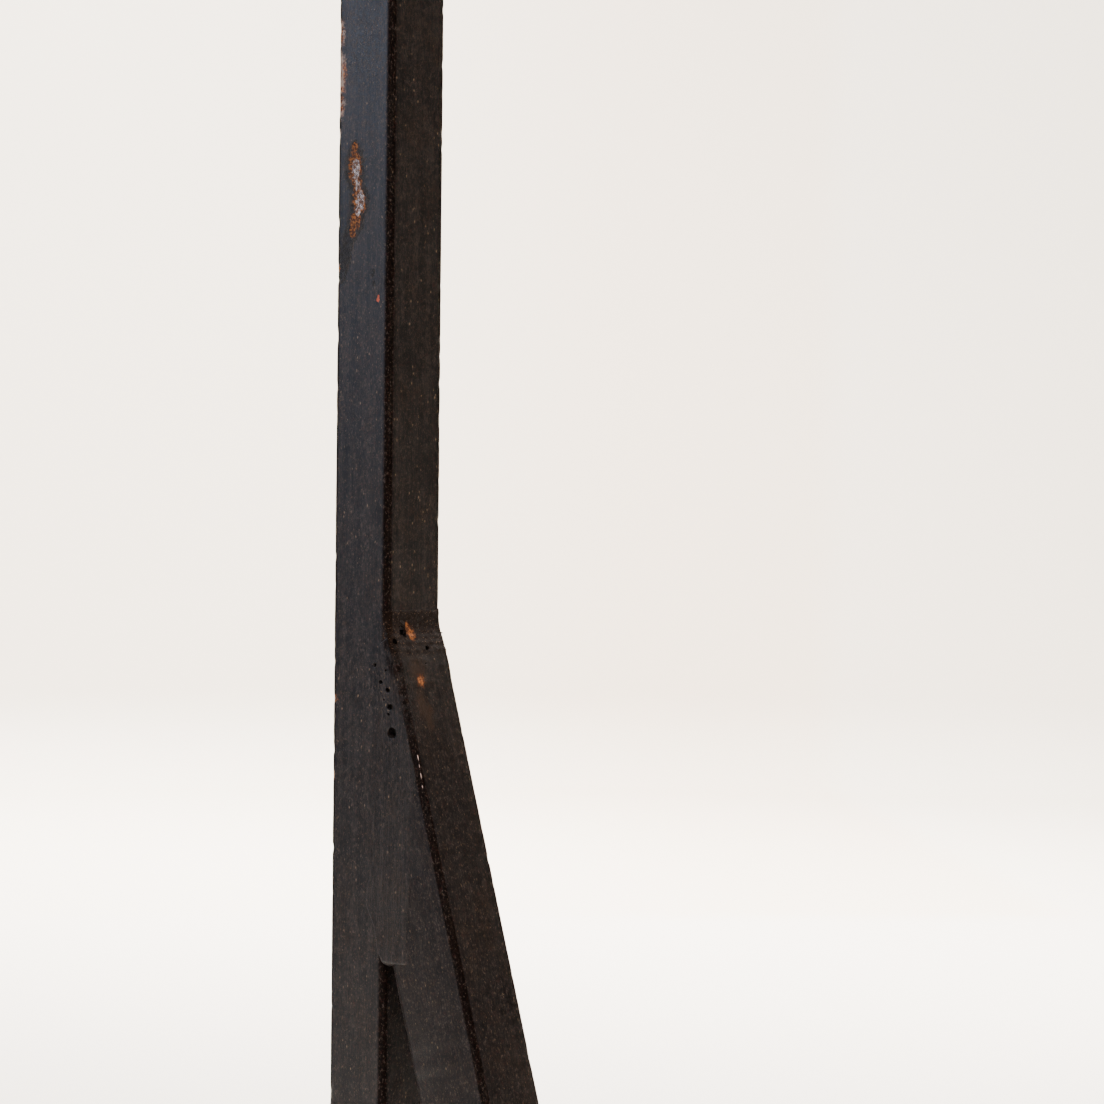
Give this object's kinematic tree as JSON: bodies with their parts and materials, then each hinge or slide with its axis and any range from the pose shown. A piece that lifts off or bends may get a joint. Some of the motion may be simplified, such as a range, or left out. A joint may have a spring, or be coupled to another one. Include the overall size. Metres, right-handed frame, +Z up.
{
  "type": "retort stand",
  "caption": "Bench retort stand: welded square-bar post with a raking strut on a footed base plate, carrying a ring and a two-jaw clamp on adjustable boss heads.",
  "frame": {"origin": "on the bench, under the middle of the base plate", "axes": "+Z up along the post, +X from the post towards the foot of its strut"},
  "size_m": [0.3, 0.2, 0.776],
  "materials": {
    "bar_steel": "dark worn paint, satin",
    "weld_steel": "ground weld under dark paint",
    "plate_steel": "dark satin paint",
    "foot_rubber": "matte",
    "screw_steel": "zinc plated",
    "boss_enamel": "dark grey enamel on a casting",
    "boss_screw_steel": "turned, nickel plated",
    "pad_brass": "turned",
    "rod_steel": "bright plated",
    "spring_steel": "drawn wire",
    "lining_cork": "cork sheet"
  },
  "bodies": {
    "stand": {"base_plate": "plate_steel", "rubber_foot_back_right": "foot_rubber", "rubber_foot_back_left": "foot_rubber", "rubber_foot_front_right": "foot_rubber", "rubber_foot_front_left": "foot_rubber", "foot_screws": "screw_steel", "post": "bar_steel", "strut": "bar_steel", "strut_head_weld": "weld_steel", "strut_crotch_weld": "weld_steel", "strut_seam_welds": "weld_steel", "post_foot_weld": "weld_steel", "strut_foot_weld": "weld_steel"},
    "ring_boss": {"ring_boss": "boss_enamel"},
    "ring_post_pad": {"ring_post_pad": "pad_brass"},
    "ring_post_screw": {"ring_post_screw": "boss_screw_steel", "ring_post_tommy_bar": "boss_screw_steel"},
    "ring_rod_pad": {"ring_rod_pad": "pad_brass"},
    "ring_rod_screw": {"ring_rod_screw": "boss_screw_steel", "ring_rod_tommy_bar": "boss_screw_steel"},
    "clamp_boss": {"clamp_boss": "boss_enamel"},
    "clamp_post_pad": {"clamp_post_pad": "pad_brass"},
    "clamp_post_screw": {"clamp_post_screw": "boss_screw_steel", "clamp_post_tommy_bar": "boss_screw_steel"},
    "clamp_rod_pad": {"clamp_rod_pad": "pad_brass"},
    "clamp_rod_screw": {"clamp_rod_screw": "boss_screw_steel", "clamp_rod_tommy_bar": "boss_screw_steel"},
    "ring": {"ring_rod": "rod_steel", "ring_hoop": "rod_steel", "ring_weld": "rod_steel"},
    "clamp_rod": {"clamp_rod": "rod_steel", "swivel_nut": "screw_steel"},
    "clamp_yoke": {"clamp_yoke": "boss_enamel", "fixed_lining": "lining_cork", "jaw_pin": "screw_steel", "clamp_bolt": "screw_steel", "clamp_spring": "spring_steel"},
    "moving_jaw": {"moving_jaw": "boss_enamel", "moving_lining": "lining_cork"},
    "clamp_washer": {"clamp_washer": "screw_steel"},
    "wing_nut": {"wing_nut": "screw_steel"}
  },
  "joints": [
    {"name": "ring_boss_slide", "type": "slide", "parent": "stand", "child": "ring_boss", "axis": [0, 0, 1], "range_m": [-0.1, 0.06]},
    {"name": "ring_post_pad_slide", "type": "slide", "parent": "ring_boss", "child": "ring_post_pad", "axis": [0, -1, 0], "range_m": [0, 0.003]},
    {"name": "ring_post_screw_turn", "type": "hinge", "parent": "ring_post_pad", "child": "ring_post_screw", "pos_m": [-0.1, -0.00635, 0.47], "axis": [0, -1, 0], "range_deg": [0, 864.1]},
    {"name": "ring_rod_pad_slide", "type": "slide", "parent": "ring_boss", "child": "ring_rod_pad", "axis": [0, 1, 0], "range_m": [0, 0.003]},
    {"name": "ring_rod_screw_turn", "type": "hinge", "parent": "ring_rod_pad", "child": "ring_rod_screw", "pos_m": [-0.0972, 0.02312, 0.47], "axis": [0, 1, 0], "range_deg": [0, 864.1]},
    {"name": "clamp_boss_slide", "type": "slide", "parent": "stand", "child": "clamp_boss", "axis": [0, 0, 1], "range_m": [-0.06, 0.11]},
    {"name": "clamp_post_pad_slide", "type": "slide", "parent": "clamp_boss", "child": "clamp_post_pad", "axis": [0, -1, 0], "range_m": [0, 0.003]},
    {"name": "clamp_post_screw_turn", "type": "hinge", "parent": "clamp_post_pad", "child": "clamp_post_screw", "pos_m": [-0.1, -0.00635, 0.64], "axis": [0, -1, 0], "range_deg": [0, 864.1]},
    {"name": "clamp_rod_pad_slide", "type": "slide", "parent": "clamp_boss", "child": "clamp_rod_pad", "axis": [0, 1, 0], "range_m": [0, 0.003]},
    {"name": "clamp_rod_screw_turn", "type": "hinge", "parent": "clamp_rod_pad", "child": "clamp_rod_screw", "pos_m": [-0.0972, 0.02312, 0.64], "axis": [0, 1, 0], "range_deg": [0, 864.1]},
    {"name": "ring_slide", "type": "slide", "parent": "ring_boss", "child": "ring", "axis": [1, 0, 0], "range_m": [-0.02, 0.03]},
    {"name": "clamp_rod_slide", "type": "slide", "parent": "clamp_boss", "child": "clamp_rod", "axis": [1, 0, 0], "range_m": [-0.02, 0.03]},
    {"name": "clamp_swivel", "type": "hinge", "parent": "clamp_rod", "child": "clamp_yoke", "pos_m": [-0.008, 0.01812, 0.64], "axis": [1, 0, 0], "range_deg": [-90, 90]},
    {"name": "jaw_hinge", "type": "hinge", "parent": "clamp_yoke", "child": "moving_jaw", "pos_m": [0.014, 0.00612, 0.64], "axis": [0, 0, 1], "range_deg": [0, 28], "deforming": ["clamp_spring"]},
    {"name": "washer_slide", "type": "slide", "parent": "clamp_yoke", "child": "clamp_washer", "axis": [0, 1, 0], "range_m": [0, 0.01066]},
    {"name": "wing_nut_turn", "type": "hinge", "parent": "clamp_washer", "child": "wing_nut", "pos_m": [0.03567, -0.0043, 0.64], "axis": [0, 1, 0], "range_deg": [0, 3834.04]}
  ],
  "couplings": [
    {"joint": "ring_post_screw_turn", "follows": "ring_post_pad_slide", "rad_per_m": 5026.5},
    {"joint": "ring_rod_screw_turn", "follows": "ring_rod_pad_slide", "rad_per_m": 5026.5},
    {"joint": "clamp_post_screw_turn", "follows": "clamp_post_pad_slide", "rad_per_m": 5026.5},
    {"joint": "clamp_rod_screw_turn", "follows": "clamp_rod_pad_slide", "rad_per_m": 5026.5},
    {"joint": "wing_nut_turn", "follows": "jaw_hinge", "ratio": 136.86},
    {"joint": "washer_slide", "follows": "jaw_hinge", "m_per_rad": 0.021782}
  ]
}
